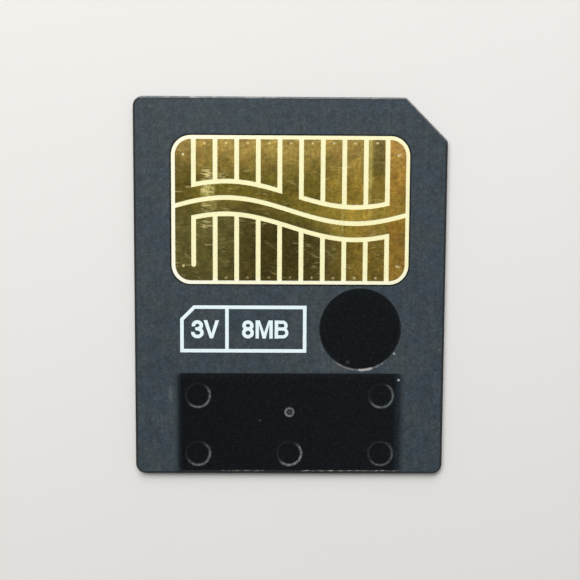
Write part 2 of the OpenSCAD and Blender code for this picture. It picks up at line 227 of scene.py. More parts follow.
# Finishes
class Finish:
    """One procedural material. Its patterns are placed in millimetres of the part."""

    def __init__(self, name, constants):
        self.material = bpy.data.materials.new(name)
        self.material.use_nodes = True
        self.tree = self.material.node_tree
        self.shader = self.tree.nodes["Principled BSDF"]
        for socket, value in constants.items():
            self.shader.inputs[socket].default_value = value
        origin = self.node("ShaderNodeTexCoord", output="Object")
        self.place = self.node("ShaderNodeVectorMath", {0: origin, "Scale": 1 / MM}, operation="SCALE")
        parts = self.node("ShaderNodeSeparateXYZ", {0: self.place}, output=None)
        self.x, self.y, self.z = parts.outputs

    def node(self, kind, inputs=None, output=0, **settings):
        """Add a node, fill its inputs with values or links, and give back one output."""
        made = self.tree.nodes.new(kind)
        for setting, value in settings.items():
            setattr(made, setting, value)
        for socket, value in (inputs or {}).items():
            if isinstance(value, bpy.types.NodeSocket):
                self.tree.links.new(value, made.inputs[socket])
            else:
                made.inputs[socket].default_value = value
        return made if output is None else made.outputs[output]

    def feed(self, socket, value):
        """Link a pattern into the shader."""
        self.tree.links.new(value, self.shader.inputs[socket])

    def calc(self, operation, first, second=0.0, third=0.0):
        """One step of arithmetic."""
        return self.node("ShaderNodeMath", {0: first, 1: second, 2: third}, operation=operation)

    def product(self, *values):
        """All the values multiplied together."""
        total = values[0]
        for value in values[1:]:
            total = self.calc("MULTIPLY", total, value)
        return total

    def either(self, *masks):
        """The strongest of several masks."""
        total = masks[0]
        for mask in masks[1:]:
            total = self.calc("MAXIMUM", total, mask)
        return total

    def rise(self, value, start, end, low=0.0, high=1.0):
        """A smooth step from low at start to high at end."""
        if start > end:
            start, end, low, high = end, start, high, low
        return self.node(
            "ShaderNodeMapRange",
            {"Value": value, "From Min": start, "From Max": end, "To Min": low, "To Max": high},
            interpolation_type="SMOOTHSTEP",
        )

    def band(self, value, low, high, soft):
        """A mask that is one between low and high, with soft edges."""
        return self.product(
            self.rise(value, low - soft, low + soft), self.rise(value, high + soft, high - soft)
        )

    def window(self, low, high, soft=0.05):
        """A mask over an upright rectangle of the face."""
        return self.product(
            self.band(self.x, low[0], high[0], soft), self.band(self.y, low[1], high[1], soft)
        )

    def spot(self, centre, size, soft=0.5):
        """A mask over an ellipse of the face; size is its full width and length."""
        across = self.calc("MULTIPLY", self.calc("SUBTRACT", self.x, centre[0]), 2 / size[0])
        along = self.calc("MULTIPLY", self.calc("SUBTRACT", self.y, centre[1]), 2 / size[1])
        spread = self.calc("ADD", self.product(across, across), self.product(along, along))
        return self.rise(spread, 1.0, (1 - soft) ** 2)

    def inset(self, low, high, radius):
        """How far inside a rounded rectangle's outline a place is; negative outside it."""
        past = []
        for axis, start, end in ((self.x, low[0], high[0]), (self.y, low[1], high[1])):
            off = self.calc("ABSOLUTE", self.calc("SUBTRACT", axis, (start + end) / 2))
            past.append(self.calc("SUBTRACT", off, (end - start) / 2 - radius))
        round_part = self.hypot(*(self.calc("MAXIMUM", value, 0.0) for value in past))
        flat_part = self.calc("MINIMUM", self.calc("MAXIMUM", *past), 0.0)
        return self.calc("SUBTRACT", radius, self.calc("ADD", round_part, flat_part))

    def hypot(self, across, along):
        """Length of the two sides' diagonal."""
        return self.calc("SQRT", self.calc("ADD", self.product(across, across), self.product(along, along)))

    def reach(self, centre):
        """Distance of a place of the face from a centre."""
        return self.hypot(self.calc("SUBTRACT", self.x, centre[0]), self.calc("SUBTRACT", self.y, centre[1]))

    def ring_line(self, centre, radius, width):
        """A soft line round a circle."""
        return self.band(self.reach(centre), radius - width / 2, radius + width / 2, width * 0.45)

    def arc_line(self, centre, radius, width, heading, span):
        """A soft line along part of a circle, strongest towards its heading; angles in degrees."""
        away = self.reach(centre)
        across = self.calc("MULTIPLY", self.calc("SUBTRACT", self.x, centre[0]), math.cos(math.radians(heading)))
        along = self.calc("MULTIPLY", self.calc("SUBTRACT", self.y, centre[1]), math.sin(math.radians(heading)))
        facing = self.calc("DIVIDE", self.calc("ADD", across, along), self.calc("MAXIMUM", away, 0.01))
        limit = math.cos(math.radians(span / 2))
        line = self.ring_line(centre, radius, width)
        return self.product(line, self.rise(facing, limit, limit + 0.55 * (1 - limit)))

    def noise(self, size, detail=2.0, stretch=(1, 1, 1), shift=(0, 0, 0), turn=0.0, roughness=0.5):
        """Smooth noise whose features have that size in millimetres, turned and drawn out by stretch."""
        turned = self.node("ShaderNodeVectorRotate", {"Vector": self.place, "Angle": math.radians(turn)})
        moved = self.node(
            "ShaderNodeMapping",
            {"Vector": turned, "Location": shift, "Scale": [1 / (size * s) for s in stretch]},
        )
        return self.node(
            "ShaderNodeTexNoise",
            {"Vector": moved, "Scale": 1.0, "Detail": detail, "Roughness": roughness},
            output="Fac",
        )

    def upright(self):
        """How squarely a face looks up, from the flat normal's height."""
        normal = self.node("ShaderNodeNewGeometry", output="True Normal")
        return self.node("ShaderNodeSeparateXYZ", {0: normal}, output="Z")

    def tint(self, low, high, factor):
        """A colour between low and high."""
        made = self.node("ShaderNodeMix", {0: factor}, output=None, data_type="RGBA")
        for socket, value in ((6, low), (7, high)):
            if isinstance(value, bpy.types.NodeSocket):
                self.tree.links.new(value, made.inputs[socket])
            else:
                made.inputs[socket].default_value = (*value, 1.0)
        return made.outputs[2]

    def shade(self, tone, low, high, pattern, start=0.3, end=0.7):
        """A colour made darker or lighter by a pattern."""
        scale = self.rise(pattern, start, end, low, high)
        if not isinstance(tone, bpy.types.NodeSocket):
            return self.tint([low * c for c in tone], [high * c for c in tone], self.rise(pattern, start, end))
        return self.node("ShaderNodeVectorMath", {0: tone, "Scale": scale}, operation="SCALE")

    def stain(self, base, tone, mask):
        """A colour multiplied by a tone where the mask is."""
        stained = self.node("ShaderNodeVectorMath", {0: base, 1: tone}, operation="MULTIPLY")
        return self.tint(base, stained, mask)

    def relief(self, *layers):
        """Stack bumps, each a height pattern and its depth in millimetres."""
        normal = None
        for height, depth in layers:
            inputs = {"Height": height, "Distance": depth * MM, "Strength": 1.0}
            if normal is not None:
                inputs["Normal"] = normal
            normal = self.node("ShaderNodeBump", inputs)
        self.feed("Normal", normal)


def in_mm(lengths):
    """A length or a place in the millimetres that a finish is laid out in."""
    return [value / MM for value in lengths] if hasattr(lengths, "__len__") else lengths / MM


def dress(names, finish):
    """Give CAD solids their finish in the place of the packed one."""
    for name in names:
        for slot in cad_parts[name].material_slots:
            slot.material = finish.material


# Ejector pin marks: middle in millimetres, how strongly the painted highlight on the rim shows, over how many degrees,
# and how strongly the rest of the rim is greyed
PIN_MARKS = (
    ((-11.0, -12.9), 0.60, 215, 0.015),
    ((11.0, -12.9), 0.60, 250, 0.015),
    ((-11.0, -20.0), 0.64, 240, 0.02),
    ((0.0, -20.0), 1.0, 225, 0.02),
    ((11.0, -20.0), 0.36, 250, 0.08),
)

# Specks and nicks of the face: middle and size in millimetres, and how pale
SPECKS = (
    ((13.1, -11.0), (0.40, 0.36), 0.80),
    ((12.5, -7.78), (0.42, 0.36), 0.60),
    ((6.95, -8.85), (0.70, 0.60), 0.05),
    ((-3.5, -15.95), (0.40, 0.40), 0.05),
)

# Soft highlights painted on the textured face: middle and size in millimetres, and how pale
FACE_HIGHLIGHTS = (
    ((-14.3, -12.8), (0.70, 2.6), 0.07),
    ((4.6, -9.4), (6.5, 1.5), 0.030),
    ((3.6, -7.6), (2.4, 3.6), 0.026),
)

# Brighter stretches of the contact end's bevel, wear with a painted highlight: middle and length in millimetres, and
# how bright
END_WEAR_AND_HIGHLIGHTS = (
    (-11.3, 1.3, 1.0),
    (-9.0, 0.6, 0.7),
    (-4.4, 2.2, 0.8),
    (-2.0, 0.8, 0.7),
    (4.9, 1.2, 0.4),
)


def moulded_plastic(s):
    """Textured slate plastic with smooth black recesses, bevels darkened by painted shade, and a contact end that is
    scuffed and painted with highlights.
    """
    made = Finish("moulded_slate", {"IOR": 1.5, "Specular IOR Level": 0.42})
    bevel, top = in_mm(s.bevel), in_mm(CARD_HIGH.z)
    low, high = in_mm(CARD_LOW), in_mm(CARD_HIGH)
    label_low, label_high = in_mm(s.label_low), in_mm(s.label_high)
    patches = made.noise(in_mm(s.patch_size), 3.0)
    grain = made.noise(in_mm(s.grain_size), 3.0, roughness=0.7)
    drawn = made.noise(0.45, 3.0, stretch=(1, 14, 14))
    face = made.tint(s.slate, s.warm_slate, made.rise(patches, 0.38, 0.62))
    face = made.shade(face, 0.64, 1.37, grain)
    face = made.shade(face, 0.86, 1.14, made.noise(0.9, 3.0, roughness=0.6, shift=(0, 3.0, 0)))
    face = made.shade(face, 0.90, 1.10, drawn)
    # Painted highlights in soft spots of the face, beside real pale flecks
    glow_spots = [made.product(made.spot(place, size, 0.8), strength) for place, size, strength in FACE_HIGHLIGHTS]
    flecks = made.rise(made.noise(0.34, 1.0, shift=(4.0, 4.0, 0)), 0.68, 0.80, 0.0, 0.12)
    face = made.tint(face, s.scuff_and_highlight, made.either(flecks, *glow_spots))

    # Painted shade darkens the bevel, except along the contact end and the clip, with a darker line just below the
    # contact end's bevel
    rim = made.inset(low, high, in_mm(s.corner_radius))
    clip = made.calc("SUBTRACT", high[0] + high[1] - in_mm(s.clip_leg), made.calc("ADD", made.x, made.y))
    clip = made.calc("MULTIPLY", clip, math.sqrt(0.5))
    from_end = made.calc("SUBTRACT", high[1], made.y)
    off_end = made.product(made.rise(from_end, bevel, bevel + 0.25), made.rise(clip, bevel, bevel + 0.25))
    upper = made.rise(made.z, top - bevel - 0.14, top - bevel)
    # Painted shade on the bevels that face away from the lamps
    dark = made.product(made.rise(rim, bevel + 0.12, bevel), off_end, upper)
    line_below_end = made.product(made.band(from_end, bevel + 0.02, bevel + 0.10, 0.04), made.rise(drawn, 0.40, 0.55, 0.3, 0.9))
    # Painted shadow in the gap round the board
    board_low, board_high = in_mm(BOARD_LOW), in_mm(BOARD_HIGH)
    gap_shadow = made.rise(made.inset(board_low, board_high, in_mm(s.board_radius)), -0.24, -0.14, 0.0, 0.7)
    paint = made.tint(face, s.shade_black, made.either(dark, line_below_end, gap_shadow))

    # Recess floors with painted reflection over parts of them, and painted shade and light that soften the label
    # recess's two side edges
    below_face = made.rise(made.z, top - 0.002, top - 0.008)
    from_side = made.calc("SUBTRACT", label_high[0], made.calc("ABSOLUTE", made.x))
    along_label = made.band(made.y, label_low[1], label_high[1], 0.2)
    # Painted shade: the face is darkened just outside the label recess's two sides
    beside = made.product(made.rise(from_side, -0.45, 0.05), along_label)
    paint = made.tint(paint, s.recess_black, made.product(beside, made.rise(grain, 0.3, 0.7, 0.15, 0.75)))
    label = made.rise(made.inset(label_low, label_high, 0.5), -0.03, 0.0)
    seal = made.rise(made.reach(in_mm(s.seal_centre)), in_mm(s.seal_size) / 2 + 0.03, in_mm(s.seal_size) / 2)
    inside = made.rise(made.z, low[2] + 0.3, low[2] + 0.5)
    recess = made.product(below_face, inside, made.either(label, seal))
    # Painted reflection: a bluish sheen towards the label's top and right side and towards the seal's edge
    veil = made.either(
        made.product(label, made.rise(made.y, label_high[1] - 1.1, label_high[1] - 0.2)),
        made.product(label, made.rise(made.x, -9.0, 6.0, 0.0, 0.35)),
        made.product(seal, made.rise(made.reach((in_mm(s.seal_centre)[0], in_mm(s.seal_centre)[1] - 1.0)), 4.0, 5.8, 0.35, 1.0)),
    )
    floor = made.tint(s.recess_black, s.dust_and_reflection_haze, veil)
    dust = made.noise(0.26, 3.0, roughness=0.75, shift=(2.0, 0, 0))
    floor = made.tint(floor, [1.6 * c for c in s.dust_and_reflection_haze], made.rise(dust, 0.48, 0.72, 0.0, 0.8))
    floor = made.shade(floor, 0.2, 1.6, dust)
    # Painted light: the floor is lightened just inside the label recess's two sides
    side_shading = made.either(
        made.product(made.rise(from_side, 0.60, 0.05), made.rise(grain, 0.3, 0.7, 0.25, 1.0)),
        made.product(made.rise(from_side, 1.1, 0.1), made.rise(made.x, 0.0, 1.0), made.rise(grain, 0.35, 0.65, 0.1, 1.3)),
    )
    floor = made.tint(floor, [0.6 * c for c in s.slate], made.product(label, side_shading))
    paint = made.tint(paint, floor, recess)

    # Painted highlights and wear on the rims, specks and the gate scar
    broken = made.rise(made.noise(0.30, 3.0, roughness=0.65), 0.34, 0.62, 0.30, 1.0)
    pin_radius = in_mm(s.pin_size) / 2 - 0.06
    rims = []
    # Each pin mark's rim gets a painted highlight towards its lower right and a faint grey round the rest
    for place, strength, span, rest in PIN_MARKS:
        rims.append(made.product(made.arc_line(place, pin_radius, 0.25, -42, span), broken, strength))
        rims.append(made.product(made.ring_line(place, pin_radius, 0.25), broken, rest))
    paint = made.tint(paint, s.rim_highlight_and_wear, made.either(*rims))
    seal_radius = in_mm(s.seal_size) / 2 + 0.04
    # Painted highlight along the seal's lower rim, with a fainter broken stretch of wear beside it
    worn = made.either(
        made.product(made.arc_line(in_mm(s.seal_centre), seal_radius, 0.22, -82, 22), 0.80),
        made.product(made.arc_line(in_mm(s.seal_centre), seal_radius, 0.17, -90, 88), broken, 0.30),
    )
    paint = made.tint(paint, s.scuff_and_highlight, worn)
    specks = [made.product(made.spot(place, size, 0.8), strength) for place, size, strength in SPECKS]
    away = made.reach(in_mm(s.gate_place))
    gate_radius = in_mm(s.gate_size) / 2
    gate = made.rise(away, gate_radius + 0.05, gate_radius - 0.03)
    ring = made.product(made.band(away, 0.60 * gate_radius, 0.88 * gate_radius, 0.08), made.rise(broken, 0.3, 1.0, 0.45, 1.1))
    core = made.rise(away, 0.60 * gate_radius, 0.1 * gate_radius, 0.01, 0.055)
    paint = made.tint(paint, s.scuff_and_highlight, made.product(gate, core))
    paint = made.tint(paint, s.rim_highlight_and_wear, made.product(gate, ring))

    # Pale marks: wear and a painted highlight along the contact end, thinly along the clip, and a painted highlight on
    # the recess's grip-end wall
    scrape = made.noise(0.7, 4.0, stretch=(1.0, 0.3, 0.3), roughness=0.7)
    bright = [
        made.product(made.band(made.x, middle - run / 2, middle + run / 2, 0.3), strength)
        for middle, run, strength in END_WEAR_AND_HIGHLIGHTS
    ]
    # Wear along the contact end's bevel, with painted highlights in its brighter stretches
    rubbed = made.either(
        made.rise(scrape, 0.35, 0.65, 0.12, 0.34),
        made.product(made.either(*bright), made.rise(scrape, 0.3, 0.6, 0.25, 0.60)),
    )
    end = made.product(made.rise(from_end, bevel + 0.03, bevel - 0.02), rubbed, upper)
    clipped = made.product(made.rise(clip, bevel, bevel - 0.08), made.rise(scrape, 0.35, 0.65, 0.10, 0.35), upper)
    # Painted highlight on the recess's grip-end wall
    wall = made.product(
        made.band(made.y, label_low[1] + 0.02, label_low[1] + 0.13, 0.03),
        made.either(made.band(made.x, 1.5, 13.2, 0.3), made.product(made.band(made.x, -8.1, -3.0, 0.3), 0.5)),
        made.rise(made.noise(0.6, 3.0, stretch=(1, 0.3, 0.3), shift=(3.1, 0, 0)), 0.44, 0.66, 0.05, 0.45),
    )
    # Painted shade on the strip and bevel below the recess's grip-end wall
    foot = made.product(
        made.band(made.y, low[1] - 0.1, label_low[1] + 0.13, 0.03), made.rise(from_side, -0.05, 0.05)
    )
    paint = made.tint(paint, [0.3 * c for c in s.shade_black], made.product(foot, 0.95))
    paint = made.tint(paint, s.scuff_and_highlight, made.either(end, clipped, wall, *specks))
    made.feed("Base Color", paint)

    matt = made.rise(patches, 0.3, 0.7, s.face_roughness - 0.05, s.face_roughness + 0.05)
    glossy = made.rise(grain, 0.3, 0.7, s.recess_roughness - 0.03, s.recess_roughness + 0.03)
    sloping = made.rise(made.upright(), 0.995, 0.95)
    smooth = made.product(recess, made.rise(made.either(gate, sloping), 0.0, 1.0, 1.0, 0.0))
    matt = made.either(matt, made.product(recess, sloping, 0.85))
    made.feed("Roughness", made.node("ShaderNodeMix", {0: smooth, 2: matt, 3: glossy}))
    depth = made.product(grain, made.rise(smooth, 0.0, 1.0, 1.0, 0.06))
    made.relief((depth, in_mm(s.grain_depth)), (patches, 0.01))
    return made


# Rubbed patches of the plating: middle and size in millimetres, and how bright
RUBBED = (
    ((-9.8, 13.3), (2.1, 2.4), 1.0),
    ((-7.9, 13.1), (1.6, 1.9), 0.55),
    ((-7.9, 9.0), (1.9, 1.3), 0.50),
    ((12.95, 15.75), (0.75, 0.50), 1.0),
    ((12.9, 2.55), (0.65, 0.55), 0.9),
    ((-13.0, 16.25), (0.70, 0.35), 1.0),
    ((-9.8, 11.55), (1.9, 1.6), 1.0),
    ((-9.8, 9.75), (2.0, 1.7), 0.7),
    ((-9.9, 7.4), (1.9, 1.9), 0.75),
    ((-9.6, 5.2), (1.3, 0.35), 0.9),
    ((-9.8, 3.5), (1.0, 0.35), 0.5),
    ((-11.8, 12.0), (1.6, 0.4), 0.6),
    ((6.6, 14.35), (2.6, 0.5), 0.6),
    ((9.4, 12.9), (2.6, 0.6), 0.5),
    ((7.0, 2.6), (0.7, 0.8), 0.45),
    ((-3.9, 6.7), (0.9, 0.9), 0.35),
)


def plated_gold(s):
    """Satin gold plating with a painted reflection that is redder to the right and dark in the middle of the near row,
    scratched by use.
    """
    made = Finish("plated_gold", {"Metallic": 0.86})
    mottle = made.noise(1.3, 3.0)
    grain = made.noise(in_mm(s.grain_size), 2.0, roughness=0.6)
    # Height over the wave that parts the two rows
    turn = made.calc("MULTIPLY", made.x, math.pi / in_mm(s.wave_length))
    wave = made.calc("MULTIPLY", made.calc("SINE", turn), -in_mm(s.wave_rise))
    height = made.calc("SUBTRACT", made.y, made.calc("ADD", wave, (in_mm(BOARD_LOW.y) + in_mm(BOARD_HIGH.y)) / 2))
    # Painted reflection: the plating is lighter towards the far edge, duller to the left, redder to the right and dark
    # over the middle of the near row
    far_row = made.tint(s.olive, s.copper, made.rise(made.x, 1.0, 10.0))
    near_row = made.tint(s.moss, [0.70 * c for c in s.copper], made.rise(made.x, 2.8, 7.6))
    near_row = made.tint(near_row, s.dark_reflection, made.spot((-1.2, 4.0), (15.0, 20.0), soft=0.9))
    base = made.tint(near_row, far_row, made.rise(height, -2.4, 0.6))
    base = made.tint(base, s.gold, made.rise(made.y, 12.4, 17.2))
    # More of the painted reflection: darker and bluer at the left end, redder at the right end, and lighter and darker
    # bands and spots
    left_end = made.product(made.rise(made.x, -11.2, -11.8), made.rise(height, -3.0, 0.0))
    base = made.stain(base, (0.74, 0.74, 0.80), left_end)
    base = made.stain(base, (1.26, 1.04, 1.0), made.rise(made.x, 11.2, 11.8))
    right_end = made.rise(made.x, 11.2, 11.5)
    bands = made.product(made.rise(made.x, -1.6, 2.0), made.rise(made.x, 11.4, 11.1), made.band(height, -2.2, 1.9, 0.3))
    for tone, mask in (
        ((1.36, 1.38, 1.36), bands),
        ((1.12, 1.20, 1.34), made.product(right_end, made.rise(made.y, 7.0, 4.6))),
        ((0.85, 0.90, 0.92), made.band(made.x, 9.5, 11.0, 0.2)),
        ((0.84, 0.98, 1.06), made.product(right_end, made.band(made.y, 8.3, 11.4, 0.7))),
        ((0.93, 0.97, 1.06), made.product(right_end, made.band(made.y, 11.6, 15.0, 0.7))),
        ((0.56, 0.58, 0.60), made.spot((10.5, 15.2), (2.1, 6.6), soft=0.6)),
        ((1.34, 1.28, 1.22), made.spot((5.1, 11.6), (2.6, 4.4), soft=0.6)),
        ((0.80, 0.80, 0.78), made.spot((-10.3, 15.9), (2.6, 2.2), soft=0.7)),
    ):
        base = made.stain(base, tone, mask)
    blotches = made.noise(1.0, 2.0, stretch=(1, 1.5, 1), shift=(5.0, 0, 0))
    base = made.stain(base, (1.05, 0.99, 0.97), made.rise(blotches, 0.50, 0.66))
    base = made.stain(base, (0.90, 0.96, 0.85), made.rise(blotches, 0.50, 0.34))
    base = made.shade(base, 0.82, 1.18, mottle)
    base = made.shade(base, 0.84, 1.16, grain)
    speckle = made.noise(0.42, 3.0, roughness=0.7, shift=(0, 0, 4.0))
    base = made.shade(base, 0.80, 1.20, speckle)
    base = made.shade(base, 0.94, 1.06, made.noise(0.30, 2.0, stretch=(1, 7, 1)))
    base = made.shade(base, 0.92, 1.08, made.noise(0.28, 2.0, stretch=(4, 1, 1), shift=(0, 3.3, 0)))

    # Fine scratches that gather in clusters, and a few rubbed places
    clusters = made.rise(made.noise(2.2, 2.0, shift=(7.0, 2.0, 0)), 0.45, 0.66, 0.10, 1.0)
    hairs = []
    for size, stretch, turn, shift, strength in (
        (0.34, (5, 1, 1), 0, 4.7, 0.40),
        (0.20, (6, 1, 1), 5, 3.4, 0.50),
        (0.28, (7, 1, 1), -12, 9.1, 0.34),
        (0.32, (7, 1, 1), 28, 2.2, 0.34),
    ):
        streaks = made.noise(size, 1.0, stretch=stretch, shift=(shift, shift, 0), turn=turn)
        hairs.append(made.product(made.rise(streaks, 0.60, 0.82, 0.0, strength), clusters))
    dashes = made.rise(made.noise(0.20, 2.0, stretch=(4, 1, 1), shift=(0, 1.9, 0)), 0.44, 0.60)
    rubbed = [
        made.product(made.spot(centre, size, soft=0.8), dashes, strength) for centre, size, strength in RUBBED
    ]
    gleams = [
        made.product(made.band(made.x, 9.2, 9.6, 0.12), made.rise(made.y, 5.0, 13.0), made.rise(mottle, 0.3, 0.6, 0.2, 0.6)),
        made.product(made.band(made.x, 6.0, 6.3, 0.1), made.band(made.y, 6.6, 9.3, 0.5), 0.35),
        made.product(made.spot((-9.8, 11.6), (2.3, 2.3), soft=0.9), made.rise(speckle, 0.40, 0.60, 0.15, 1.0)),
        made.product(made.spot((-9.6, 9.7), (2.4, 2.0), soft=0.9), made.rise(speckle, 0.40, 0.60, 0.1, 0.5)),
    ]
    base = made.tint(base, s.gleam, made.either(*gleams))
    base = made.tint(base, s.scratch, made.either(*hairs, *rubbed))

    # Painted highlight at the bottom of the plated holes' dimples
    top = in_mm(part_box("contact_ground")[1].z)
    filled = made.product(made.rise(made.z, top - 0.008, top - 0.014), made.rise(made.upright(), 0.6, 0.9))
    ragged = made.rise(made.noise(0.22, 2.0, shift=(0, 6.1, 0)), 0.38, 0.56, 0.30, 1.0)
    corner = made.rise(made.calc("ABSOLUTE", made.x), 11.3, 11.6)
    patchy = made.product(ragged, made.rise(made.x, 2.0, 7.0, 0.62, 1.0))
    base = made.tint(base, s.via_highlight, made.product(filled, made.either(patchy, corner)))
    made.feed("Base Color", base)
    made.feed("Roughness", made.rise(grain, 0.25, 0.75, s.roughness - 0.05, s.roughness + 0.05))
    made.relief((grain, 0.0002), (mottle, 0.004))
    return made


def cream_board(s):
    """Cream board face with a faint glass-cloth weave."""
    made = Finish("cream_board", {"IOR": 1.5})
    pitch = math.tau / in_mm(s.weave_pitch)
    warp = made.calc("SINE", made.calc("MULTIPLY", made.x, pitch))
    weft = made.calc("SINE", made.calc("MULTIPLY", made.y, pitch))
    weave = made.calc("MULTIPLY", warp, weft)
    mottle = made.noise(1.1, 3.0)
    face = made.tint(s.cream, s.shade, made.rise(mottle, 0.45, 0.8, 0.0, 0.8))
    low, high = in_mm(BOARD_LOW), in_mm(BOARD_HIGH)
    rim = made.rise(made.inset(low, high, 2.3), 0.75, 0.55)
    whiter = made.either(
        made.rise(made.x, 4.0, low[0], 0.12, 0.70),
        made.rise(made.y, low[1] + 2.5, low[1] + 0.5, 0.0, 0.60),
        made.spot((low[0] + 1.5, low[1] + 1.0), (12.0, 7.0), soft=0.9),
    )
    made.feed("Base Color", made.tint(face, s.bare_edge, made.product(rim, whiter)))
    made.feed("Roughness", made.rise(mottle, 0.3, 0.7, s.roughness - 0.05, s.roughness + 0.05))
    made.relief((weave, in_mm(s.weave_depth)), (made.noise(0.12, 2.0), 0.002))
    return made


def mottled(name, tone, size, contrast, roughness, constants=None, depth=0.002):
    """A plain matt finish with a fine mottle, for the parts inside."""
    made = Finish(name, constants or {})
    mottle = made.noise(size, 3.0, roughness=0.6)
    lighter = [min(1.0, c * (1 + contrast)) for c in tone]
    darker = [c * (1 - contrast) for c in tone]
    made.feed("Base Color", made.tint(darker, lighter, made.rise(mottle, 0.3, 0.7)))
    made.feed("Roughness", made.rise(mottle, 0.3, 0.7, roughness - 0.06, roughness + 0.06))
    made.relief((mottle, depth))
    return made


def memory_silicon(s):
    """Passivated silicon: a dark face ruled into the memory array's blocks."""
    made = Finish("memory_silicon", {"IOR": 1.8})
    rules = []
    for axis in (made.x, made.y):
        turn = made.calc("FRACT", made.calc("DIVIDE", axis, in_mm(s.array_pitch)))
        rules.append(made.rise(made.calc("ABSOLUTE", made.calc("SUBTRACT", turn, 0.5)), 0.46, 0.49))
    sheen = made.noise(2.2, 2.0)
    tone = made.tint(s.silicon, [1.5 * c for c in s.silicon], sheen)
    made.feed("Base Color", made.tint(tone, s.array_line, made.either(*rules)))
    made.feed("Roughness", made.rise(sheen, 0.3, 0.7, 0.12, 0.2))
    return made


def screen_ink(s):
    """Cool white ink that thins a little where the plastic's texture stands up."""
    made = Finish("screen_ink", {"IOR": 1.48})
    grain = made.noise(0.16, 3.0, roughness=0.65)
    made.feed("Base Color", made.tint(s.ink, [0.8 * c for c in s.ink], made.rise(grain, 0.5, 0.85)))
    made.feed("Roughness", made.rise(grain, 0.3, 0.7, 0.45, 0.6))
    made.relief((grain, 0.004))
    return made


# Lettering
def arc(centre, radii, start, end, steps=22):
    """Points along an ellipse, from one angle to another in degrees."""
    angles = (math.radians(start + (end - start) * k / steps) for k in range(steps + 1))
    return [(centre[0] + radii[0] * math.cos(a), centre[1] + radii[1] * math.sin(a)) for a in angles]


def ribbon(path, width):
    """The outline of a stroke of that width along an open path."""
    points = [Vector(p) for p in path]
    left, right = [], []
    for k, here in enumerate(points):
        into = (here - points[k - 1]).normalized() if k else None
        out = (points[k + 1] - here).normalized() if k + 1 < len(points) else None
        first, last = into or out, out or into
        bend = (first + last).normalized()
        side = Vector((-bend.y, bend.x)) * (width / 2 / max(bend.dot(first), 0.3))
        left.append(tuple(here + side))
        right.append(tuple(here - side))
    return right + left[::-1]


def three(wide, tall, stroke):
    """Two open bowls with a short arm between them."""
    half = stroke / 2
    middle = tall * 0.524
    strokes = [ribbon([(wide * 0.32, middle), (wide * 0.55, middle)], stroke * 0.86)]
    for low, high, reach, turn in ((half, middle, 1.0, (90, -190)), (middle, tall - half, 0.95, (196, -90))):
        centre = (wide * 0.49, (low + high) / 2)
        radii = (wide * (reach - 0.49) - half, (high - low) / 2)
        strokes.append(ribbon(arc(centre, radii, *turn), stroke))
    return strokes


def eight(wide, tall, stroke):
    """Two closed bowls, the upper one narrower."""
    half = stroke / 2
    middle = tall * 0.524
    strokes = []
    for low, high, reach in ((half, middle, 0.5), (middle, tall - half, 0.475)):
        centre = (wide / 2, (low + high) / 2)
        radii = (wide * reach - half, (high - low) / 2)
        strokes += [ribbon(arc(centre, radii, 88, 272), stroke), ribbon(arc(centre, radii, -92, 92), stroke)]
    return strokes


def vee(wide, tall, stroke):
    """Two strokes that meet on the baseline."""
    foot, top = stroke * 0.46, stroke * 1.06
    return [[
        (0, tall), (wide / 2 - foot, 0), (wide / 2 + foot, 0), (wide, tall),
        (wide - top, tall), (wide / 2, tall * 0.27), (top, tall),
    ]]


def em(wide, tall, stroke):
    """Two stems and a deep vee between them."""
    stem, top, foot = stroke * 0.96, stroke * 1.22, stroke * 0.44
    return [[
        (0, 0), (stem, 0), (stem, tall * 0.78), (wide / 2 - foot, 0), (wide / 2 + foot, 0),
        (wide - stem, tall * 0.78), (wide - stem, 0), (wide, 0), (wide, tall),
        (wide - top, tall), (wide / 2, tall * 0.32), (top, tall), (0, tall),
    ]]


def bee(wide, tall, stroke):
    """A stem with two bowls, the lower one larger."""
    half = stroke / 2
    middle = tall * 0.53
    strokes = [[(0, 0), (stroke, 0), (stroke, tall), (0, tall)]]
    for low, high, reach in ((half, middle, 1.0), (middle, tall - half, 0.94)):
        bow = (high - low) / 2
        centre = (wide * reach - half - bow, (low + high) / 2)
        path = [(half, low), *arc(centre, (bow, bow), -90, 90), (half, high)]
        strokes.append(ribbon(path, stroke * 0.92))
    return strokes


def joined_outline(shapes):
    """Triangles of the union of overlapping outlines, as points and faces."""
    points, rings = [], []
    for shape in shapes:
        rings.append(list(range(len(points), len(points) + len(shape))))
        points += [Vector(p) for p in shape]
    verts, _, faces, _, _, sources = delaunay_2d_cdt(points, [], rings, 1, 1e-4)
    return verts, [face for face, source in zip(faces, sources) if source]


def print_letters(name, glyphs, low, high, finish):
    """Print letters as one thin solid layer of ink that lies on the card's face."""
    mesh = bpy.data.meshes.new(name)
    form = bmesh.new()
    for draw, left, wide, settings in glyphs:
        tall, stroke, baseline = settings
        verts, faces = joined_outline(draw(wide, tall, stroke))
        made = [form.verts.new(((left + v.x) * MM, (baseline + v.y) * MM, low)) for v in verts]
        for face in faces:
            form.faces.new([made[k] for k in face])
    bmesh.ops.dissolve_limit(form, angle_limit=0.001, verts=form.verts[:], edges=form.edges[:])
    bmesh.ops.delete(form, geom=[v for v in form.verts if not v.link_faces], context="VERTS")
    bmesh.ops.recalc_face_normals(form, faces=form.faces[:])
    for face in form.faces:
        if face.normal.z > 0:
            face.normal_flip()
    grown = bmesh.ops.extrude_face_region(form, geom=form.faces[:])
    lifted = [v for v in grown["geom"] if isinstance(v, bmesh.types.BMVert)]
    bmesh.ops.translate(form, verts=lifted, vec=(0, 0, high - low))
    bmesh.ops.recalc_face_normals(form, faces=form.faces[:])
    form.to_mesh(mesh)
    form.free()
    piece = bpy.data.objects.new(name, mesh)
    bpy.context.scene.collection.objects.link(piece)
    mesh.materials.append(finish.material)
    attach(piece, "root")
    return piece


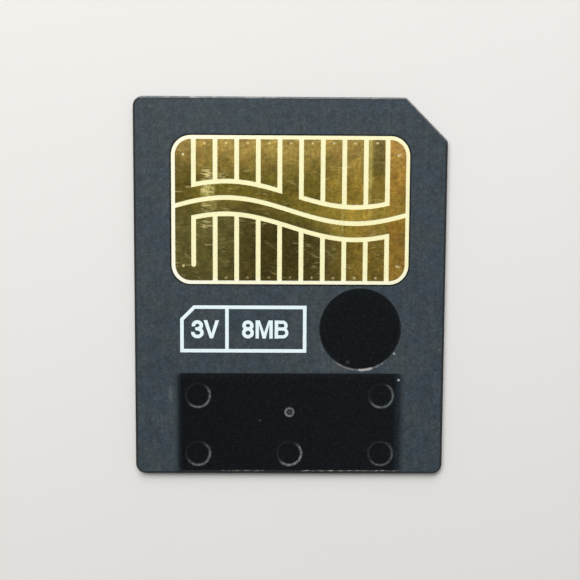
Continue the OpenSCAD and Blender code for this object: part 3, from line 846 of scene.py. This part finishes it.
# Operators
class MEMORYCARD_OT_finish_moulding(bpy.types.Operator):
    """Finish the moulded card: texture, smooth recesses, bevels darkened by painted shade, and scuffs with painted
    highlights
    """

    bl_idname = "memory_card.finish_moulding"
    bl_label = "Finish the Moulded Card"

    def execute(self, context):
        dress(["base_card"], moulded_plastic(context.scene.card_moulding))
        return {"FINISHED"}


class MEMORYCARD_OT_plate_contacts(bpy.types.Operator):
    """Plate the eighteen conductors with worn satin gold"""

    bl_idname = "memory_card.plate_contacts"
    bl_label = "Plate the Contacts"

    def execute(self, context):
        dress(CONTACTS, plated_gold(context.scene.card_contacts))
        return {"FINISHED"}


class MEMORYCARD_OT_finish_board(bpy.types.Operator):
    """Finish the cream board that carries the contacts"""

    bl_idname = "memory_card.finish_board"
    bl_label = "Finish the Board"

    def execute(self, context):
        dress(["contact_board"], cream_board(context.scene.card_board))
        return {"FINISHED"}


class MEMORYCARD_OT_finish_inside(bpy.types.Operator):
    """Finish the hidden film, die, paste, bond wires and resin"""

    bl_idname = "memory_card.finish_inside"
    bl_label = "Finish the Inside"

    def execute(self, context):
        s = context.scene.card_inner
        dress(["memory_die"], memory_silicon(s))
        dress(["bonding_film"], mottled("bonding_film", s.film, 0.5, 0.25, 0.5))
        dress(["die_paste"], mottled("die_paste", s.paste, 0.15, 0.2, 0.4, {"Metallic": 0.6}))
        dress(["bond_wires"], mottled("bond_wire_gold", s.wire, 0.1, 0.06, 0.25, {"Metallic": 1.0}, 0.0005))
        dress(["moulded_resin"], mottled("moulded_resin", s.resin, 0.08, 0.35, 0.6))
        return {"FINISHED"}


class MEMORYCARD_OT_print_rating(bpy.types.Operator):
    """Print the rating: its frame and the letters inside"""

    bl_idname = "memory_card.print_rating"
    bl_label = "Print the Rating"

    def execute(self, context):
        s = context.scene.card_rating
        finish = screen_ink(s)
        dress(["printed_frame"], finish)
        size = (in_mm(s.cap_height), in_mm(s.stroke), in_mm(s.baseline))
        low, high = MARK_LOW.z, MARK_HIGH.z
        voltage = [(three, -11.74, 1.47, size), (vee, -10.28, 1.85, size)]
        capacity = [(eight, -5.70, 1.41, size), (em, -4.09, 2.05, size), (bee, -1.81, 1.66, size)]
        print_letters("printed_voltage", voltage, low, high, finish)
        print_letters("printed_capacity", capacity, low, high, finish)
        return {"FINISHED"}


def soft_lamp(name, tilt, turn, away, size, watts, tone):
    """A wide area lamp that faces the card, tilted away from straight above it."""
    light = bpy.data.lights.new(name, "AREA")
    light.shape = "RECTANGLE"
    light.energy, light.color = watts, tone
    light.size, light.size_y = size
    lamp = bpy.data.objects.new(name, light)
    back = Vector((math.sin(tilt) * math.cos(turn), math.sin(tilt) * math.sin(turn), math.cos(tilt)))
    lamp.location = away * back
    lamp.rotation_euler = back.to_track_quat("Z", "Y").to_euler()
    bpy.context.scene.collection.objects.link(lamp)


class MEMORYCARD_OT_set_stage(bpy.types.Operator):
    """Lay the pale floor, place the soft lamps and set the camera above the card"""

    bl_idname = "memory_card.set_stage"
    bl_label = "Set the Stage"

    def execute(self, context):
        s = context.scene.card_stage
        scene = context.scene
        mesh = bpy.data.meshes.new("floor")
        half, low = 3.0, CARD_LOW.z - 0.01 * MM
        corners = [(-half, -half, low), (half, -half, low), (half, half, low), (-half, half, low)]
        mesh.from_pydata(corners, [], [(0, 1, 2, 3)])
        floor = bpy.data.objects.new("floor", mesh)
        scene.collection.objects.link(floor)
        paper = Finish("pale_floor", {"Roughness": 0.9})
        pulp = paper.noise(60.0, 3.0)
        paper.feed("Base Color", paper.tint(s.floor, [0.97 * c for c in s.floor], pulp))
        # Far from the card the floor stays as pale to the camera and to mirrors as it is near it
        path = paper.node("ShaderNodeLightPath", output=None)
        seen = paper.either(*(path.outputs[ray] for ray in ("Is Camera Ray", "Is Glossy Ray", "Is Transmission Ray")))
        glow = paper.node("ShaderNodeEmission", {"Color": (*s.floor, 1.0), "Strength": 0.97})
        far = paper.product(seen, paper.rise(paper.reach((0.0, 0.0)), 45.0, 150.0))
        body = paper.shader.outputs[0]
        blend = paper.node("ShaderNodeMixShader", {0: far, 1: body, 2: glow})
        paper.tree.links.new(blend, paper.tree.nodes["Material Output"].inputs["Surface"])
        mesh.materials.append(paper.material)

        lamps = (
            ("key_lamp", 43.0, 114.0, 0.50, (0.60, 0.26), s.key_power, (1.0, 0.985, 0.96)),
            ("top_lamp", 60.0, 90.0, 0.50, (0.40, 0.24), s.top_power, (1.0, 0.99, 0.975)),
            ("fill_lamp", 50.0, -10.0, 0.55, (0.30, 0.30), s.fill_power, (0.94, 0.97, 1.0)),
        )
        for name, tilt, turn, away, size, watts, tone in lamps:
            soft_lamp(name, math.radians(tilt), math.radians(turn), away, size, watts, tone)

        world = bpy.data.worlds.new("studio")
        world.use_nodes = True
        nodes, links = world.node_tree.nodes, world.node_tree.links
        where = nodes.new("ShaderNodeTexCoord")
        parts = nodes.new("ShaderNodeSeparateXYZ")
        links.new(where.outputs["Generated"], parts.inputs[0])
        fade = nodes.new("ShaderNodeMapRange")
        fade.interpolation_type = "SMOOTHSTEP"
        for socket, value in (("From Min", 0.02), ("From Max", 0.45), ("To Min", s.horizon), ("To Max", s.overhead)):
            fade.inputs[socket].default_value = value
        links.new(parts.outputs["Z"], fade.inputs["Value"])
        links.new(fade.outputs[0], nodes["Background"].inputs["Strength"])
        nodes["Background"].inputs["Color"].default_value = (0.97, 0.985, 1.0, 1.0)
        scene.world = world

        lens = bpy.data.cameras.new("camera")
        lens.sensor_width, lens.lens = 36.0, s.lens
        lens.clip_start, lens.clip_end = 0.005, 10.0
        camera = bpy.data.objects.new("camera", lens)
        camera.location, camera.rotation_euler = s.camera_place, s.camera_turn
        scene.collection.objects.link(camera)
        scene.camera = camera
        scene.view_settings.view_transform = "Standard"
        return {"FINISHED"}


OPERATORS = (
    MEMORYCARD_OT_set_stage,
    MEMORYCARD_OT_finish_moulding,
    MEMORYCARD_OT_plate_contacts,
    MEMORYCARD_OT_finish_board,
    MEMORYCARD_OT_finish_inside,
    MEMORYCARD_OT_print_rating,
)


class MEMORYCARD_PT_sidebar(bpy.types.Panel):
    """The card's settings and the steps that use them"""

    bl_idname = "MEMORYCARD_PT_sidebar"
    bl_label = "Memory Card"
    bl_space_type = "VIEW_3D"
    bl_region_type = "UI"
    bl_category = "Memory Card"

    def draw(self, context):
        for operator in OPERATORS:
            self.layout.operator(operator.bl_idname)
        for name in SETTINGS:
            group = getattr(context.scene, name)
            box = self.layout.box()
            box.label(text=type(group).__doc__)
            for key in group.bl_rna.properties.keys():
                if key not in {"rna_type", "name"}:
                    box.prop(group, key)


CLASSES = (*SETTINGS.values(), *OPERATORS, MEMORYCARD_PT_sidebar)


def register():
    """Make the settings, operators and panel known to Blender."""
    for cls in CLASSES:
        bpy.utils.register_class(cls)
    for name, group in SETTINGS.items():
        setattr(bpy.types.Scene, name, PointerProperty(type=group))


def unregister():
    """Take them away again."""
    for name in SETTINGS:
        delattr(bpy.types.Scene, name)
    for cls in reversed(CLASSES):
        bpy.utils.unregister_class(cls)


def main():
    """Dress the whole card."""
    register()
    bpy.ops.memory_card.set_stage()
    bpy.ops.memory_card.finish_moulding()
    bpy.ops.memory_card.plate_contacts()
    bpy.ops.memory_card.finish_board()
    bpy.ops.memory_card.finish_inside()
    bpy.ops.memory_card.print_rating()


if __name__ == "__main__":
    main()
